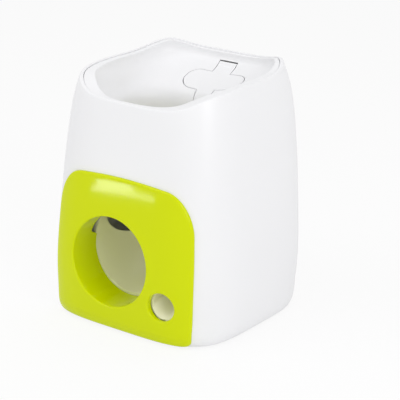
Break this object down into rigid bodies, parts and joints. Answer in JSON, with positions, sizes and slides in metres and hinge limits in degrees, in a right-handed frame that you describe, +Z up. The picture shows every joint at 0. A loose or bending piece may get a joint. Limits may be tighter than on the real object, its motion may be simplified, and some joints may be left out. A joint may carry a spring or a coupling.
{
  "type": "ball drop treat dispenser",
  "caption": "Free-standing dog toy: a ball dropped in the top bowl rolls out at the front and turns a drum that lets treats fall from a small port.",
  "frame": {"origin": "on the floor, under the centre of the body", "axes": "+Z up; the green front panel faces -Y; +X is to the right when looking along +Y at the panel"},
  "size_m": [0.1602, 0.1601, 0.2],
  "materials": {
    "white_shell": "satin moulded",
    "lime_panel": "glossy moulded",
    "natural_plastic": "semi-matte moulded",
    "acetal": "smooth",
    "grey_plastic": "fine grain",
    "foot_rubber": "matte",
    "steel": "zinc plated"
  },
  "bodies": {
    "stand": {"housing": "white_shell", "top_bowl": "white_shell", "front_panel": "lime_panel", "ball_chute": "natural_plastic", "treat_chute": "natural_plastic", "treat_hopper": "natural_plastic", "drum_cradle": "natural_plastic", "shaft_bushings": "acetal", "left_bracket": "grey_plastic", "right_bracket": "grey_plastic", "base_plate": "grey_plastic", "rubber_feet": "foot_rubber", "lid_hinge_pin": "steel", "return_spring": "steel", "base_screws": "steel", "bowl_screws": "steel", "panel_screws": "steel", "floor_screws": "steel", "hopper_screws": "steel"},
    "lid": {"treat_lid": "white_shell"},
    "paddle": {"trigger_paddle": "acetal", "paddle_shaft": "steel", "paddle_clips": "steel", "sector_gear": "acetal"},
    "drum": {"metering_drum": "acetal", "drum_axle": "steel", "drum_pinion": "acetal", "axle_clips": "steel"}
  },
  "joints": [
    {"name": "lid_hinge", "type": "hinge", "parent": "stand", "child": "lid", "pos_m": [0.002, 0.056, 0.1831], "axis": [-1, 0, 0], "range_deg": [0, 100]},
    {"name": "paddle_pivot", "type": "hinge", "parent": "stand", "child": "paddle", "pos_m": [0, 0.032, 0.124], "axis": [1, 0, 0], "range_deg": [0, 75], "stiffness_Nm_per_rad": 0.004, "springref_deg": -85.94},
    {"name": "drum_spin", "type": "hinge", "parent": "stand", "child": "drum", "pos_m": [0, 0.05339, 0.09229], "axis": [1, 0, 0], "range_deg": [-180, 0]}
  ],
  "couplings": [
    {"joint": "drum_spin", "follows": "paddle_pivot", "ratio": -2.4}
  ]
}
